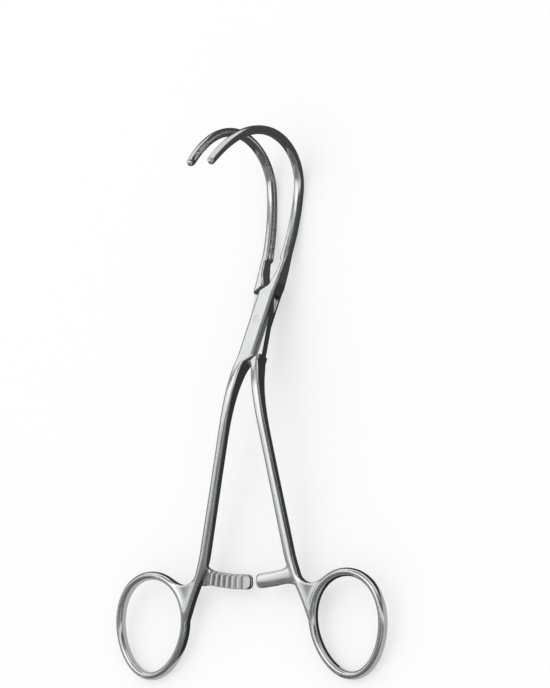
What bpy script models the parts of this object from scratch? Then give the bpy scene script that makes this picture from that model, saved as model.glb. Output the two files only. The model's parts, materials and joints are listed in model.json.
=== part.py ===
# Ring-handled ligature clamp: two box-locked arms with hooked jaws, and the rivet that joins them.
# Modelled closed in the clamp frame, pivot at the origin: X across the arms, Y along the clamp towards
# the jaws, Z towards the side that the jaws hook over. The arms are then opened and laid on their backs.

import math

import bmesh
import bpy
from mathutils import Matrix, Vector

MM = 0.001

# Whole clamp
REST_TURN = 5.0  # degrees that each arm is opened from closed
LOCK_LEAN = 21.0  # degrees that the box lock leans back from the clamp's length
FACE_GAP = 0.15 * MM  # from the closing plane to each working face

# Box lock
LOCK_WIDTH = 8.2 * MM
LOCK_THICKNESS = 6.0 * MM
LOCK_REACH = 12.5 * MM  # pivot to the near end of a shoulder
LOCK_HEEL = 15.3 * MM  # pivot to the far end of a shoulder, at the closing plane
LOCK_TAIL = 3.2 * MM  # how much farther the box reaches towards the shanks than towards the jaws
LOCK_ROOM = 2.0 * MM  # how far the cutters reach past the lock
WEB_THICKNESS = 2.8 * MM
WEB_WIDTH = 9.4 * MM
WEB_RADIUS = 12.0 * MM
SLOT_CLEARANCE = 0.15 * MM  # between web and cheek, each side
END_CLEARANCE = 0.25 * MM  # round the web's ends and at the shoulders
WALL_SET_BACK = 0.05 * MM  # how far the slot's straight walls keep from the closed arm's face
PIN_RADIUS = 1.6 * MM
PIN_CLEARANCE = 0.06 * MM
PIN_SET_BACK = 0.02 * MM  # below the cheek's face
LOCK_SQUARENESS = 16.0  # 2 is an ellipse, and more is nearer a square

# Shanks and handle plane
HANDLE_BEND_Y = -50.0 * MM
HANDLE_BEND_Z = 10.6 * MM
HANDLE_LEAN = 2.2  # degrees that the handles lean back below the bend
HANDLE_CANT = 0.031  # forward rise for each unit outwards, so that both rings lie in one plane at rest
SHANK_SPLAY = 0.148  # sideways travel for each unit of length
SHANK_STRAIGHT_END_Y = -94.0 * MM
SHANK_BASE = 4.1 * MM
SHANK_SLIM = 4.1 * MM
SHANK_LOW = 4.5 * MM
SHANK_DEPTH = 4.1 * MM
SHANK_SQUARENESS = 2.3
SHANK_TOP_SQUARENESS = 4.5
SHANK_FOOT_ANGLE = 176.0  # degrees round the ring at which the shank grows out of its band
SHANK_FOOT_SHARE = 0.91  # of the band's size there
SHANK_TAPER = 0.6  # share of the straight length over which the shank slims
SHANK_WAIST = 0.45  # share of the foot's length that stays as slim as the band
SHANK_TOP_LENGTH = 2.5 * MM  # from the lock's far shoulder to where the shank's bend ends

# Finger rings
RING_X = 40.8 * MM
RING_Y = -124.8 * MM
RING_TURN = 5.0  # degrees that the ring's long axis leans in when closed
RING_INNER_WIDTH = 31.2 * MM
RING_INNER_HEIGHT = 37.2 * MM
RING_BAND = 3.4 * MM
RING_DEPTH = 4.4 * MM
RING_EGG = 0.10  # how much broader the ring is above its middle
RING_WEB_DEPTH = 3.2 * MM
WEB_NECK = (2.2 * MM, -4.5 * MM)  # top of the ring's fillet, from the end of the straight shank
WEB_CORNER = (2.6 * MM, -8.5 * MM)  # where the fillet's two edges would meet, from its top
WEB_RING_ANGLES = (186, 173, 160, 147, 134, 121)  # degrees round the ring that the fillet follows
WEB_VALLEY_SHARES = (0.2, 0.4, 0.6, 0.8)

# Ratchets
RATCHET_Y = -104.0 * MM
RATCHET_HEIGHT = 6.0 * MM
RATCHET_THICKNESS = 2.3 * MM
RATCHET_RIM = 1.2 * MM  # plain strip above the teeth
RATCHET_PITCH = 2.94 * MM
RATCHET_TOOTH = 0.8 * MM
RATCHET_LAND_SHARE = 0.35  # flat top of a tooth, as a share of the pitch
RATCHET_TIP_LAND = 4.6 * MM
RATCHET_TIP_ROUNDS = ((0.0, 0.45), (0.5 * MM, 0.75), (1.6 * MM, 0.95))  # from the tip, share of height
RATCHET_ROOT_LAND = 3.5 * MM  # least plain length beside the shank's centre line
RATCHET_STEP = 0.25 * MM  # run of a tooth's steep side, which faces its own shank
RATCHET_CLEARANCE = 0.12 * MM  # each side of the plane where the teeth pass
FRONT_BAR_REACH = 25.8 * MM  # shank centre to tip, bar with its teeth in front
BACK_BAR_REACH = 17.8 * MM

# Jaws
STEM_END_Y = 54.8 * MM
STEM_END_Z = -15.4 * MM
CREST_HEIGHT = 21.6 * MM  # the hook's crest, along the clamp from the stem's end
CREST_REACH = 23.2 * MM  # and across it, towards the front
HOOK_REACH = 52.0 * MM  # the hook's tip, across the clamp from the stem's end
HOOK_DROP = 14.4 * MM  # crest to tip, along the clamp
JAW_BACK_BASE = 4.3 * MM  # closing plane to the jaw's back, where it leaves the lock
JAW_BACK_HEEL = 4.05 * MM
JAW_BACK_TIP = 3.0 * MM
JAW_DEPTH_BASE = 4.5 * MM
JAW_DEPTH_HEEL = 3.75 * MM
JAW_DEPTH_TIP = 3.4 * MM
JAW_BASE_LENGTH = 1.0 * MM  # from the lock's far shoulder to where the stem begins
JAW_BASE_SQUARENESS = 8.0
JAW_BACK_SQUARENESS = 2.4
JAW_FACE_SQUARENESS = 9.0
TIP_SQUARENESS = 4.0
TIP_ROUNDS = ((0.25, 0.95), (0.5, 0.8), (0.7, 0.5))  # reach beyond the face and size left, as shares
JAW_DEPTH_EASE = 0.25  # share of the stem over which the lock's thickness narrows to the jaw's
JAW_BACK_EASE = 0.33  # share of the stem over which its back rounds off and its face bows
JAW_RELIEF_EASE = 0.12
JAW_BOW = 0.65 * MM  # how far a closed working face stands off at the heel: the tips meet first
FACE_START_Y = 25.0 * MM  # where the toothed face begins
FACE_RELIEF = 1.2 * MM  # how far the jaw stands back below that
GROOVE_DEPTH = 0.6 * MM
ROW_HEIGHT = 0.35 * MM  # above the working face
ROW_NOTCH = 0.3 * MM
ROW_PITCH = 2.0 * MM
ROW_SINK = 0.25 * MM  # how deep a row's foot is set into its jaw

# Points round an arm's section
BACK_ANGLES = (0, 25, 45, 60, 80, 100, 120, 135)  # degrees, either side of a jaw's back
FACE_FRACTIONS = (0.0, 0.2, 0.26, 0.56, 0.62, 0.9)
CENTRE_GROOVE = 0.22  # shares of the jaw's half depth that the grooves and rows take up
SIDE_GROOVES = (0.25, 0.57)
ROW_HALF_WIDTH = 0.17
SIDE_ROW_CENTRE = 0.41
SIDE_ROW_HALF_WIDTH = 0.1
ROW_TOP = 0.7  # width of a row's top, as a share of its foot

RING_SECTION = 12
RING_STATIONS = 40
PIN_SIDES = 32
ARC_POINTS = 12
SHANK_STEPS = 8
STRAIGHT_STEPS = 4
STEM_STEPS = 10
HOOK_STEPS = 24
SHARP_ANGLE = 35.0

STEEL = (0.62, 0.62, 0.62, 1.0)
PIN_STEEL = (0.56, 0.56, 0.57, 1.0)
STEEL_ROUGHNESS = 0.25
PIN_ROUGHNESS = 0.3


def clear_scene():
    for old in list(bpy.data.objects):
        bpy.data.objects.remove(old, do_unlink=True)


def make_collection(name, hidden=False):
    collection = bpy.data.collections.new(name)
    bpy.context.scene.collection.children.link(collection)
    collection.hide_render = hidden
    return collection


def steel(name, colour, roughness):
    material = bpy.data.materials.new(name)
    material.use_nodes = True
    shader = material.node_tree.nodes["Principled BSDF"]
    shader.inputs["Base Color"].default_value = colour
    shader.inputs["Metallic"].default_value = 1.0
    shader.inputs["Roughness"].default_value = roughness
    return material


def add_object(name, mesh, collection):
    obj = bpy.data.objects.new(name, mesh)
    collection.objects.link(obj)
    return obj


def lean():
    return math.radians(LOCK_LEAN)


def lock_to_clamp():
    """Turn from the lock's own axes (X across, Y along the lock, Z along its pin) to the clamp's."""
    return Matrix.Rotation(-lean(), 4, "X")


def loft(rings, closed=False, mirrored=False):
    """Skin a list of equal-length point rings, capped at both ends unless it runs round to its start."""
    shape = bmesh.new()
    rows = [[shape.verts.new(point) for point in ring] for ring in rings]
    pairs = list(zip(rows, rows[1:]))
    if closed:
        pairs.append((rows[-1], rows[0]))
    for low, high in pairs:
        for i in range(len(low)):
            j = (i + 1) % len(low)
            shape.faces.new((low[i], low[j], high[j], high[i]))
    if not closed:
        shape.faces.new(tuple(reversed(rows[0])))
        shape.faces.new(tuple(rows[-1]))
    if mirrored:
        bmesh.ops.scale(shape, vec=(-1.0, 1.0, 1.0), verts=shape.verts)
        bmesh.ops.reverse_faces(shape, faces=shape.faces)
    return shape


def to_mesh(shape, name, into_lock=True):
    if into_lock:
        bmesh.ops.transform(shape, matrix=lock_to_clamp().inverted(), verts=shape.verts)
    mesh = bpy.data.meshes.new(name)
    shape.to_mesh(mesh)
    shape.free()
    return mesh


def smooth_curve(start, start_way, end, end_way, count):
    """Points and directions of a cubic that leaves start along start_way and meets end along end_way."""
    start, end = Vector(start), Vector(end)
    span = (end - start).length
    first = Vector(start_way).normalized() * span
    last = Vector(end_way).normalized() * span
    found = []
    for i in range(1, count + 1):
        t = i / count
        point = (
            start * (2 * t**3 - 3 * t**2 + 1)
            + first * (t**3 - 2 * t**2 + t)
            + end * (3 * t**2 - 2 * t**3)
            + last * (t**3 - t**2)
        )
        way = (
            start * (6 * t**2 - 6 * t)
            + first * (3 * t**2 - 4 * t + 1)
            + end * (6 * t - 6 * t**2)
            + last * (3 * t**2 - 2 * t)
        )
        found.append((point, way.normalized()))
    return found


def handle_z(x, y):
    """Height of the handles' middle surface at a place in plan."""
    back = (y - HANDLE_BEND_Y) * math.tan(math.radians(HANDLE_LEAN))
    return HANDLE_BEND_Z + back + HANDLE_CANT * (abs(x) - shank_x(HANDLE_BEND_Y))


def handle_way():
    return Vector((math.cos(math.radians(HANDLE_LEAN)), math.sin(math.radians(HANDLE_LEAN))))


def lock_way():
    return Vector((math.cos(lean()), -math.sin(lean())))


def shank_x(y):
    """Distance of a shank's centre line from the closing plane."""
    return SHANK_SPLAY * abs(y)


def ring_line(angle):
    """Point of the right ring's centre line in the closed clamp, and the way out of the ring there."""
    half_width = (RING_INNER_WIDTH + RING_BAND) / 2
    half_height = (RING_INNER_HEIGHT + RING_BAND) / 2

    def place(a):
        across = half_width * math.cos(a) * (1 + RING_EGG * math.sin(a))
        return Vector((across, half_height * math.sin(a)))

    turn = Matrix.Rotation(math.radians(RING_TURN), 2)
    step = 0.001
    along = place(angle + step) - place(angle - step)
    outward = Vector((along.y, -along.x)).normalized()
    return turn @ place(angle) + Vector((RING_X, RING_Y)), turn @ outward


def mix(a, b, t):
    return a + (b - a) * min(max(t, 0.0), 1.0)


def station(point, way, left, right, half_depth, flat_in, flat_out):
    """One section of an arm: its place and direction from the side, its edges across, its squareness."""
    return {
        "point": point,
        "way": way,
        "left": left,
        "right": right,
        "half_depth": half_depth,
        "flat_in": flat_in,
        "flat_out": flat_out,
        "groove": 0.0,
    }


def shank_stations():
    """From inside the ring's band up to the lock, for the arm whose shank lies on the left."""
    found = []
    flat = SHANK_SQUARENESS
    foot, outward = ring_line(math.radians(SHANK_FOOT_ANGLE))
    low = Vector((-foot.x, foot.y))
    low_way = (-outward.y, -outward.x)
    top = Vector((-shank_x(SHANK_STRAIGHT_END_Y), SHANK_STRAIGHT_END_Y))
    lower = smooth_curve(low, low_way, top, (SHANK_SPLAY, 1.0), SHANK_STEPS)
    lower.insert(0, (low, low_way))
    for i, (point, _) in enumerate(lower):
        t = (i / SHANK_STEPS - SHANK_WAIST) / SHANK_WAIST
        half = mix(RING_BAND * SHANK_FOOT_SHARE, SHANK_LOW, t) / 2
        depth = mix(RING_DEPTH * SHANK_FOOT_SHARE, SHANK_DEPTH, t) / 2
        place = Vector((point.y, handle_z(point.x, point.y)))
        found.append(station(place, handle_way(), point.x - half, point.x + half, depth, flat, flat))
    for i in range(1, STRAIGHT_STEPS + 1):
        t = i / STRAIGHT_STEPS
        y = mix(SHANK_STRAIGHT_END_Y, HANDLE_BEND_Y, t)
        half = mix(SHANK_LOW, SHANK_SLIM, t / SHANK_TAPER) / 2
        centre = -shank_x(y)
        place = Vector((y, handle_z(centre, y)))
        found.append(station(place, handle_way(), centre - half, centre + half, SHANK_DEPTH / 2, flat, flat))
    start = Vector((HANDLE_BEND_Y, HANDLE_BEND_Z))
    lock_end = lock_way() * -(LOCK_HEEL + LOCK_TAIL + SHANK_TOP_LENGTH)
    upper = smooth_curve(start, handle_way(), lock_end, lock_way(), SHANK_STEPS)
    for i, (place, way) in enumerate(upper):
        t = (i + 1) / SHANK_STEPS
        half = mix(SHANK_SLIM, SHANK_BASE, t * t) / 2
        centre = -max(shank_x(place.x), FACE_GAP + half)
        depth = mix(SHANK_DEPTH, LOCK_THICKNESS, t**2) / 2
        flat = mix(SHANK_SQUARENESS, SHANK_TOP_SQUARENESS, t**2)
        found.append(station(place, way, centre - half, centre + half, depth, flat, flat))
    return found


def lock_stations(width):
    """The lock's block: the shank's side below, full width past the shoulders, the jaw's side above."""
    half = width / 2
    thick = LOCK_THICKNESS / 2
    flat = LOCK_SQUARENESS
    rows = (
        (-LOCK_HEEL - LOCK_TAIL, -FACE_GAP - SHANK_BASE, -FACE_GAP),
        (-LOCK_REACH - LOCK_TAIL, -half, half),
        (0.0, -half, half),
        (LOCK_REACH, -half, half),
        (LOCK_HEEL, FACE_GAP, JAW_BACK_BASE),
    )
    return [station(lock_way() * d, lock_way(), left, right, thick, flat, flat) for d, left, right in rows]


def hook_point(t):
    """Place and direction on the hook, from the stem's end: an elliptic heel, then a falling parabola."""
    if t <= 0.5:
        angle = math.pi * t
        place = Vector((CREST_HEIGHT * math.sin(angle), CREST_REACH * (1 - math.cos(angle))))
        way = Vector((CREST_HEIGHT * math.cos(angle), CREST_REACH * math.sin(angle)))
        return place, way.normalized()
    on = 2 * t - 1
    length = HOOK_REACH - CREST_REACH
    place = Vector((CREST_HEIGHT - HOOK_DROP * on * on, CREST_REACH + length * on))
    return place, Vector((-2 * HOOK_DROP * on, length)).normalized()


def jaw_stations():
    """From the lock up the stem and round the hook, for the arm whose jaw lies on the right."""
    found = []
    start = lock_way() * (LOCK_HEEL + JAW_BASE_LENGTH)
    heel = Vector((STEM_END_Y, STEM_END_Z))
    stem = smooth_curve(start, lock_way(), heel, (1.0, 0.0), STEM_STEPS)
    stem.insert(0, (start, lock_way()))
    for place, way in stem:
        t = (place.x - start.x) / (heel.x - start.x)
        back = mix(JAW_BACK_BASE, JAW_BACK_HEEL, t)
        depth = mix(LOCK_THICKNESS, mix(JAW_DEPTH_BASE, JAW_DEPTH_HEEL, t), t / JAW_DEPTH_EASE)
        on_face = place.x >= FACE_START_Y
        bow = FACE_GAP + mix(0.0, JAW_BOW, t / JAW_BACK_EASE)
        set_back = 0.0 if on_face else mix(0.0, FACE_RELIEF, t / JAW_RELIEF_EASE)
        flat_out = mix(JAW_BASE_SQUARENESS, JAW_BACK_SQUARENESS, t / JAW_BACK_EASE)
        row = station(place, way, bow + set_back, back, depth / 2, JAW_FACE_SQUARENESS, flat_out)
        row["groove"] = GROOVE_DEPTH if on_face else 0.0
        found.append(row)
    for i in range(1, HOOK_STEPS + 1):
        t = i / HOOK_STEPS
        place, way = hook_point(t)
        back = mix(JAW_BACK_HEEL, JAW_BACK_TIP, t)
        depth = mix(JAW_DEPTH_HEEL, JAW_DEPTH_TIP, t)
        bow = FACE_GAP + JAW_BOW * (1 - t)
        row = station(heel + place, way, bow, back, depth / 2, JAW_FACE_SQUARENESS, JAW_BACK_SQUARENESS)
        row["groove"] = GROOVE_DEPTH
        found.append(row)
    last = found[-1]
    for reach, share in TIP_ROUNDS:
        place = last["point"] + last["way"] * reach * JAW_BACK_TIP
        middle = (FACE_GAP + JAW_BACK_TIP) / 2
        half = share * (JAW_BACK_TIP - FACE_GAP) / 2
        depth = JAW_DEPTH_TIP / 2 * share
        flat_in, flat_out = TIP_SQUARENESS, JAW_BACK_SQUARENESS
        found.append(station(place, last["way"], middle - half, middle + half, depth, flat_in, flat_out))
    return found


def outline_angles():
    """Angles of an arm's section points, and for each the part of the face pattern that it carries."""
    face = []
    for f in FACE_FRACTIONS:
        face.append((math.pi - math.atan(f), f))
        if f:
            face.append((math.pi + math.atan(f), -f))
    back = sorted({side * a for a in BACK_ANGLES for side in (-1, 1)})
    rest = [(math.radians(a), None) for a in back]
    return rest + sorted(face, key=lambda pair: pair[0])


def in_groove(fraction, centred):
    """True for a face point that lies on a groove's floor."""
    f = abs(fraction)
    if centred:
        return f < CENTRE_GROOVE
    return SIDE_GROOVES[0] < f < SIDE_GROOVES[1]


def arm_section(row, centred):
    """Points round one section, as a squared circle whose flatness can differ inside and outside."""
    half = (row["right"] - row["left"]) / 2
    middle = (row["right"] + row["left"]) / 2
    points = []
    for angle, fraction in outline_angles():
        power = row["flat_in"] if math.cos(angle) < 0 else row["flat_out"]
        size = (abs(math.cos(angle)) ** power + abs(math.sin(angle)) ** power) ** (-1 / power)
        across = middle + half * size * math.cos(angle)
        up = row["half_depth"] * size * math.sin(angle)
        if fraction is not None and row["groove"] and in_groove(fraction, centred):
            across += row["groove"]
        way = row["way"]
        points.append((across, row["point"].x - way.y * up, row["point"].y + way.x * up))
    return points


def arm_body(name, width, centred, mirrored):
    """Shank, lock block and jaw of one arm as one lofted solid."""
    rows = shank_stations() + lock_stations(width) + jaw_stations()
    shape = loft([arm_section(row, centred) for row in rows], mirrored=mirrored)
    return to_mesh(shape, name)


def finger_ring(name, mirrored):
    """Closed oval band beside the shank. It is drawn on the right, where mirrored is False."""
    rings = []
    for i in range(RING_STATIONS):
        place, outward = ring_line(2 * math.pi * i / RING_STATIONS)
        ring = []
        for k in range(RING_SECTION):
            a = 2 * math.pi * (k + 0.5) / RING_SECTION
            flat = place + outward * (RING_BAND / 2 * math.cos(a))
            ring.append((flat.x, flat.y, handle_z(flat.x, flat.y) + RING_DEPTH / 2 * math.sin(a)))
        rings.append(ring)
    return to_mesh(loft(rings, closed=True, mirrored=mirrored), name)


def ring_web(name, mirrored):
    """Flat fillet that fills the corner between the ring's top and the shank."""
    along_ring = [ring_line(math.radians(angle))[0] for angle in WEB_RING_ANGLES]
    neck = Vector((shank_x(SHANK_STRAIGHT_END_Y), SHANK_STRAIGHT_END_Y)) + Vector(WEB_NECK)
    corner = neck + Vector(WEB_CORNER)
    valley = []
    for t in WEB_VALLEY_SHARES:
        valley.append(along_ring[-1].lerp(corner, t).lerp(corner.lerp(neck, t), t))
    outline = along_ring + valley + [neck]
    rings = []
    for up in (-RING_WEB_DEPTH / 2, RING_WEB_DEPTH / 2):
        rings.append([(p.x, p.y, handle_z(p.x, p.y) + up) for p in outline])
    shape = loft(rings, mirrored=mirrored)
    bmesh.ops.recalc_face_normals(shape, faces=shape.faces)
    return to_mesh(shape, name)


def ratchet_bar(name, reach, toothed_front, mirrored):
    """Toothed bar swept about the pin's axis, so that both bars pass at a constant clearance."""
    axis = lock_to_clamp().to_3x3() @ Vector((0.0, 0.0, 1.0))
    middle = Vector((0.0, RATCHET_Y, handle_z(shank_x(RATCHET_Y), RATCHET_Y)))
    radius = (middle - axis * middle.dot(axis)).length
    root = shank_x(RATCHET_Y)
    side = 1.0 if toothed_front else -1.0
    near = RATCHET_CLEARANCE + RATCHET_TOOTH
    far = near + RATCHET_THICKNESS - RATCHET_TOOTH

    # Distance along the bar from its tip, tooth height there and share of the bar's full height
    rows = [(along, 1.0, tall) for along, tall in RATCHET_TIP_ROUNDS]
    rows.append((RATCHET_TIP_LAND, 1.0, 1.0))
    at = RATCHET_TIP_LAND
    teeth = int((reach - RATCHET_TIP_LAND - RATCHET_ROOT_LAND) / RATCHET_PITCH)
    for _ in range(teeth):
        rows.append((at + RATCHET_STEP, 0.0, 1.0))
        rows.append((at + RATCHET_PITCH * (1 - RATCHET_LAND_SHARE), 1.0, 1.0))
        rows.append((at + RATCHET_PITCH, 1.0, 1.0))
        at += RATCHET_PITCH
    rows.append((at + RATCHET_STEP, 0.0, 1.0))
    rows.append((reach, 0.0, 1.0))

    half = RATCHET_HEIGHT / 2
    rings = []
    for along, tooth, tall in rows:
        cut = near - RATCHET_TOOTH * tooth
        top, low = half * tall, -half * tall
        rim = min(top, half - RATCHET_RIM)
        profile = ((low, far), (low, cut), (rim, cut), (rim, near), (top, near), (top, far))
        turn = Matrix.Rotation((reach - along - root) / radius, 3, axis)
        rings.append([turn @ (middle + Vector((0.0, up, -side * out))) for up, out in profile])
    shape = loft(rings, mirrored=mirrored)
    bmesh.ops.recalc_face_normals(shape, faces=shape.faces)
    return to_mesh(shape, name)


def tooth_row(name, centre, half_width, mirrored):
    """Raised row of cross teeth that runs the whole length of a working face."""
    rows = [row for row in jaw_stations() if row["groove"]]
    lengths = [0.0]
    for low, high in zip(rows, rows[1:]):
        lengths.append(lengths[-1] + (high["point"] - low["point"]).length)
    total = lengths[-1]
    count = max(2, round(total / ROW_PITCH))
    rings = []
    for i in range(2 * count + 1):
        at = total * i / (2 * count)
        k = min(len(rows) - 2, max(n for n in range(len(lengths)) if lengths[n] <= at + 1e-9))
        t = (at - lengths[k]) / (lengths[k + 1] - lengths[k])
        point = rows[k]["point"].lerp(rows[k + 1]["point"], t)
        way = rows[k]["way"].lerp(rows[k + 1]["way"], t).normalized()
        depth = mix(rows[k]["half_depth"], rows[k + 1]["half_depth"], t)
        face = mix(rows[k]["left"], rows[k + 1]["left"], t)
        top = face - ROW_HEIGHT + (ROW_NOTCH if i % 2 == 0 else 0.0)
        foot = face + ROW_SINK
        ring = []
        for share, across in ((-1.0, foot), (1.0, foot), (ROW_TOP, top), (-ROW_TOP, top)):
            up = depth * (centre + half_width * share)
            ring.append((across, point.x - way.y * up, point.y + way.x * up))
        rings.append(ring)
    shape = loft(rings, mirrored=mirrored)
    bmesh.ops.recalc_face_normals(shape, faces=shape.faces)
    return to_mesh(shape, name)


def prism(name, outline, low, high):
    """Upright block over an outline in the lock's own plane."""
    shape = loft([[(x, y, z) for x, y in outline] for z in (low, high)])
    bmesh.ops.recalc_face_normals(shape, faces=shape.faces)
    return to_mesh(shape, name, into_lock=False)


def arc(radius, start, end):
    """Points of an arc about the pivot, angles in degrees."""
    steps = [math.radians(start + (end - start) * i / ARC_POINTS) for i in range(ARC_POINTS + 1)]
    return [(radius * math.cos(a), radius * math.sin(a)) for a in steps]


def slot_outline():
    """Room in the box for the web as it turns, open towards the other arm's jaw and shank."""
    radius = WEB_RADIUS + END_CLEARANCE
    wall = FACE_GAP - WALL_SET_BACK
    edge = math.degrees(math.asin(wall / radius))
    far = LOCK_HEEL + LOCK_TAIL + LOCK_ROOM
    right = [(far, 0.0), (far, -far), (-wall, -far)]
    left = [(-far, 0.0), (-far, far), (wall, far)]
    return arc(radius, 90 - edge, 0) + right + arc(radius, -90 - edge, -180) + left


def shoulder_y(x):
    """Oblique line of the upper shoulder, on the through arm."""
    slope = (LOCK_HEEL - LOCK_REACH) / (LOCK_WIDTH / 2 + FACE_GAP)
    room = END_CLEARANCE * math.sqrt(1 + slope * slope)
    return LOCK_REACH + slope * (x + LOCK_WIDTH / 2) + room


def recess_outline():
    """Sunk field on each face of the through arm, in which a cheek lies and turns."""
    wide = 2 * LOCK_WIDTH
    return [
        (-wide, shoulder_y(-wide)),
        (-wide, -shoulder_y(wide) - LOCK_TAIL),
        (wide, -shoulder_y(-wide) - LOCK_TAIL),
        (wide, shoulder_y(wide)),
    ]


def web_end_outline():
    """What is cut off the through arm beyond the web's round end, on the upper right."""
    edge = math.degrees(math.asin(FACE_GAP / WEB_RADIUS))
    far = LOCK_HEEL + LOCK_TAIL + LOCK_ROOM
    return arc(WEB_RADIUS, 0, 90 + edge) + [(-FACE_GAP, far), (far, far), (far, 0.0)]


def cylinder(name, radius, low, high):
    shape = bmesh.new()
    middle = Matrix.Translation((0.0, 0.0, (low + high) / 2))
    bmesh.ops.create_cone(
        shape,
        cap_ends=True,
        segments=PIN_SIDES,
        radius1=radius,
        radius2=radius,
        depth=high - low,
        matrix=middle,
    )
    return to_mesh(shape, name, into_lock=False)


def add_boolean(target, tool, operation):
    modifier = target.modifiers.new(tool.name, "BOOLEAN")
    modifier.operation = operation
    modifier.solver = "EXACT"
    modifier.object = tool


def shape_arm(arm, tools, cutters):
    """Joins or cuts the arm with each tool in turn."""
    for mesh, operation in tools:
        tool = add_object(mesh.name, mesh, cutters)
        tool.parent = arm
        tool.hide_render = True
        tool.display_type = "WIRE"
        add_boolean(arm, tool, operation)


def build_box_arm(parts, cutters):
    """Left ring and shank, slotted box, right jaw."""
    arm = add_object("box_arm", arm_body("box_arm", LOCK_WIDTH, True, False), parts)
    arm.data.materials.append(steel("box_arm_steel", STEEL, STEEL_ROUGHNESS))
    slot = WEB_THICKNESS / 2 + SLOT_CLEARANCE
    tools = [
        (finger_ring("left_ring", True), "UNION"),
        (ring_web("left_ring_web", True), "UNION"),
        (ratchet_bar("front_toothed_bar", FRONT_BAR_REACH, True, False), "UNION"),
        (tooth_row("upper_side_row", SIDE_ROW_CENTRE, SIDE_ROW_HALF_WIDTH, False), "UNION"),
        (tooth_row("lower_side_row", -SIDE_ROW_CENTRE, SIDE_ROW_HALF_WIDTH, False), "UNION"),
        (prism("box_slot", slot_outline(), -slot, slot), "DIFFERENCE"),
        (cylinder("cheek_hole", PIN_RADIUS + PIN_CLEARANCE, -LOCK_THICKNESS, LOCK_THICKNESS), "DIFFERENCE"),
    ]
    shape_arm(arm, tools, cutters)
    return arm


def build_through_arm(parts, cutters):
    """Right ring and shank, web through the box, left jaw."""
    arm = add_object("through_arm", arm_body("through_arm", WEB_WIDTH, False, True), parts)
    arm.data.materials.append(steel("through_arm_steel", STEEL, STEEL_ROUGHNESS))
    web = WEB_THICKNESS / 2
    upper = web_end_outline()
    lower = [(-x, -y) for x, y in upper]
    thick = LOCK_THICKNESS
    tools = [
        (finger_ring("right_ring", False), "UNION"),
        (ring_web("right_ring_web", False), "UNION"),
        (ratchet_bar("back_toothed_bar", BACK_BAR_REACH, False, True), "UNION"),
        (tooth_row("middle_row", 0.0, ROW_HALF_WIDTH, True), "UNION"),
        (prism("front_recess", recess_outline(), web, thick), "DIFFERENCE"),
        (prism("back_recess", recess_outline(), -thick, -web), "DIFFERENCE"),
        (prism("upper_web_end", upper, -thick, thick), "DIFFERENCE"),
        (prism("lower_web_end", lower, -thick, thick), "DIFFERENCE"),
        (cylinder("web_hole", PIN_RADIUS + PIN_CLEARANCE, -thick, thick), "DIFFERENCE"),
    ]
    shape_arm(arm, tools, cutters)
    return arm


def build_pin(parts):
    reach = LOCK_THICKNESS / 2 - PIN_SET_BACK
    pin = add_object("lock_pin", cylinder("lock_pin", PIN_RADIUS, -reach, reach), parts)
    pin.data.materials.append(steel("pin_steel", PIN_STEEL, PIN_ROUGHNESS))
    return pin


def side_points(arm):
    """Side view (Y, Z) in the clamp frame of an arm's lofted body and of its ring, opened to rest."""
    turn = lock_to_clamp() @ Matrix.Rotation(arm.rotation_euler.z, 4, "Z")
    meshes = [arm.data] + [child.data for child in arm.children if child.name.endswith("ring")]
    return [turn @ v.co for mesh in meshes for v in mesh.vertices]


def resting_line(points):
    """The edge of the lower hull that lies under the lock, as its two ends (y, z)."""
    hull = []
    for p in sorted({(p.y, p.z) for p in points}):
        while len(hull) > 1:
            a, b = hull[-2], hull[-1]
            if (b[0] - a[0]) * (p[1] - a[1]) - (b[1] - a[1]) * (p[0] - a[0]) > 0:
                break
            hull.pop()
        hull.append(p)
    return next((a, b) for a, b in zip(hull, hull[1:]) if a[0] <= 0.0 <= b[0])


def lay_down(pivot, arms):
    """Tilts the clamp back until its rings and the heels of its jaws touch the table."""
    points = [point for arm in arms for point in side_points(arm)]
    low, high = resting_line(points)
    tilt = -math.atan2(high[1] - low[1], high[0] - low[0])
    turned = [Matrix.Rotation(tilt, 4, "X") @ point for point in points]
    spans = [(min(p[i] for p in turned), max(p[i] for p in turned)) for i in range(3)]
    pivot.rotation_euler.x = tilt - lean()
    pivot.location = (0.0, -(spans[1][0] + spans[1][1]) / 2, -spans[2][0])


def main():
    clear_scene()
    parts = make_collection("ligature_clamp")
    cutters = make_collection("cutters", hidden=True)
    pivot = bpy.data.objects.new("pivot", None)
    parts.objects.link(pivot)
    box_arm = build_box_arm(parts, cutters)
    through_arm = build_through_arm(parts, cutters)
    pin = build_pin(parts)
    box_arm.rotation_euler.z = -math.radians(REST_TURN)
    through_arm.rotation_euler.z = math.radians(REST_TURN)
    for piece in (box_arm, through_arm, pin):
        piece.parent = pivot
        piece.data.shade_smooth()
        piece.data.set_sharp_from_angle(angle=math.radians(SHARP_ANGLE))
    lay_down(pivot, (box_arm, through_arm))


main()
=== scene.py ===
import json
import math

import bmesh
import bpy
import numpy as np
from mathutils import Matrix, Vector
from mathutils.kdtree import KDTree


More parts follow.
